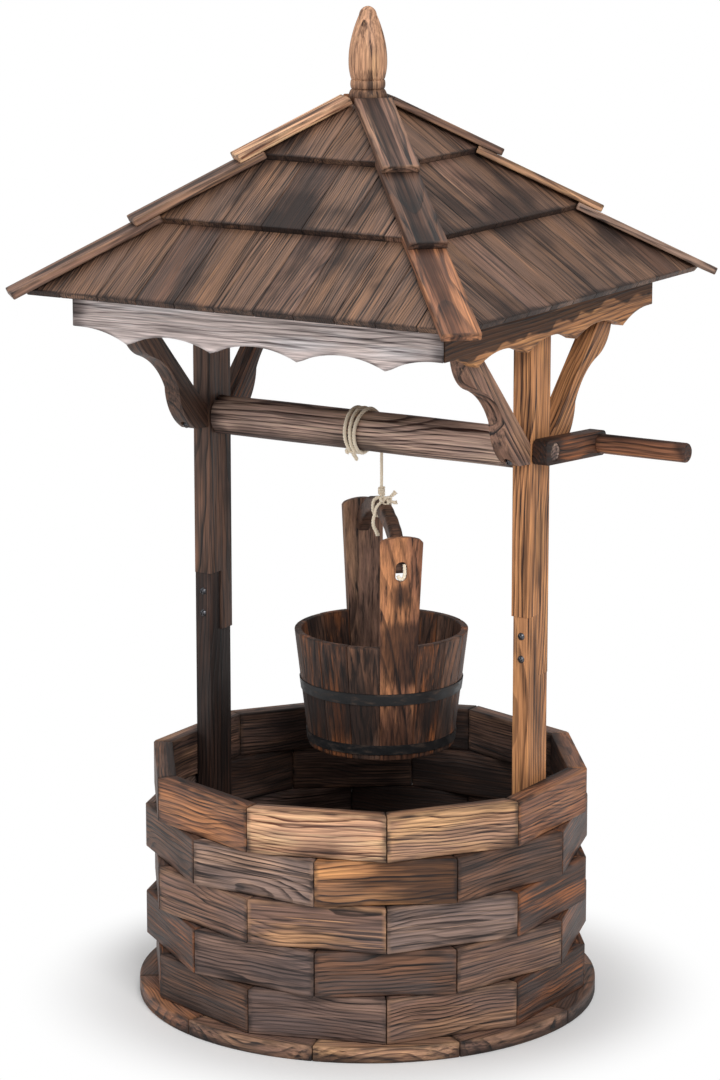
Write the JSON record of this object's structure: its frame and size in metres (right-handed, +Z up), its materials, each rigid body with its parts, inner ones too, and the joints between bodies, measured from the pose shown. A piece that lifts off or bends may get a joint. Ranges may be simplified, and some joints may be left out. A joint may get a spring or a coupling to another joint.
{
  "type": "wishing well planter",
  "caption": "Ten-sided timber wishing well planter with a hipped roof, a crank windlass and a stave bucket on a rope.",
  "frame": {"origin": "on the ground, at the centre of the well's base ring", "axes": "+Z up, X along the windlass with the crank at +X, -Y to the front"},
  "size_m": [0.6513, 0.6022, 1.1299],
  "materials": {
    "wall_fir": "burnt fir, matt, strong grain",
    "post_fir": "burnt fir, matt, strong grain",
    "fascia_fir": "burnt and weathered fir, matt",
    "roof_fir": "dark burnt fir, matt",
    "batten_fir": "burnt fir, orange and brown stripes",
    "finial_fir": "turned fir, slight sheen",
    "dark_fir": "dark burnt fir, matt",
    "bucket_fir": "burnt fir, matt, strong grain",
    "rope": "twisted cotton or jute cord, cream",
    "hoop_black": "black steel band, satin",
    "screw_steel": "dulled steel screw head"
  },
  "bodies": {
    "frame": {"base_ring": "wall_fir", "wall_course_1": "wall_fir", "wall_course_2": "wall_fir", "wall_course_3": "wall_fir", "wall_course_4": "wall_fir", "wall_course_5": "wall_fir", "floor_slats": "wall_fir", "post_lower_right": "post_fir", "post_lower_left": "post_fir", "post_upper_right": "post_fir", "post_upper_left": "post_fir", "bracket_front_right": "post_fir", "bracket_front_left": "post_fir", "bracket_back_right": "post_fir", "bracket_back_left": "post_fir", "frame_screws": "screw_steel", "fascia_front": "fascia_fir", "fascia_right": "fascia_fir", "fascia_back": "fascia_fir", "fascia_left": "fascia_fir", "roof_lower_front": "roof_fir", "roof_lower_right": "roof_fir", "roof_lower_back": "roof_fir", "roof_lower_left": "roof_fir", "roof_middle_front": "roof_fir", "roof_middle_right": "roof_fir", "roof_middle_back": "roof_fir", "roof_middle_left": "roof_fir", "roof_upper_front": "roof_fir", "roof_upper_right": "roof_fir", "roof_upper_back": "roof_fir", "roof_upper_left": "roof_fir", "hip_batten_lower_front_right": "batten_fir", "hip_batten_lower_back_right": "batten_fir", "hip_batten_lower_back_left": "batten_fir", "hip_batten_lower_front_left": "batten_fir", "hip_batten_middle_front_right": "batten_fir", "hip_batten_middle_back_right": "batten_fir", "hip_batten_middle_back_left": "batten_fir", "hip_batten_middle_front_left": "batten_fir", "hip_batten_upper_front_right": "batten_fir", "hip_batten_upper_back_right": "batten_fir", "hip_batten_upper_back_left": "batten_fir", "hip_batten_upper_front_left": "batten_fir", "apex_block": "roof_fir", "finial": "finial_fir"},
    "windlass": {"roller": "dark_fir", "crank_arm": "dark_fir", "crank_handle": "dark_fir", "rope_winding": "rope", "winding_knot": "rope"},
    "rope_end": {"rope_drop": "rope"},
    "knot": {"rope_knot": "rope"},
    "bucket": {"bucket_staves": "bucket_fir", "handle_staves": "bucket_fir", "bucket_bottom": "bucket_fir", "hoop_upper": "hoop_black", "hoop_lower": "hoop_black", "bucket_handle": "dark_fir", "handle_ropes": "rope"}
  },
  "joints": [
    {"name": "windlass_turn", "type": "hinge", "parent": "frame", "child": "windlass", "pos_m": [0, 0, 0.655], "axis": [1, 0, 0], "range_deg": [-530, 65]},
    {"name": "bucket_lift", "type": "slide", "parent": "frame", "child": "rope_end", "axis": [0, 0, 1], "range_m": [-0.2341, 0.0288], "deforming": ["rope_drop"]},
    {"name": "bucket_twist", "type": "hinge", "parent": "rope_end", "child": "knot", "pos_m": [0.003, 0.0253, 0.5819], "axis": [0, 0, 1], "range_deg": [-90, 90]},
    {"name": "bucket_swing", "type": "hinge", "parent": "knot", "child": "bucket", "pos_m": [0.003, 0.0253, 0.5819], "axis": [0.6782, -0.7349, 0], "range_deg": [-15, 15]}
  ],
  "couplings": [
    {"joint": "bucket_lift", "follows": "windlass_turn", "m_per_rad": 0.0253}
  ]
}
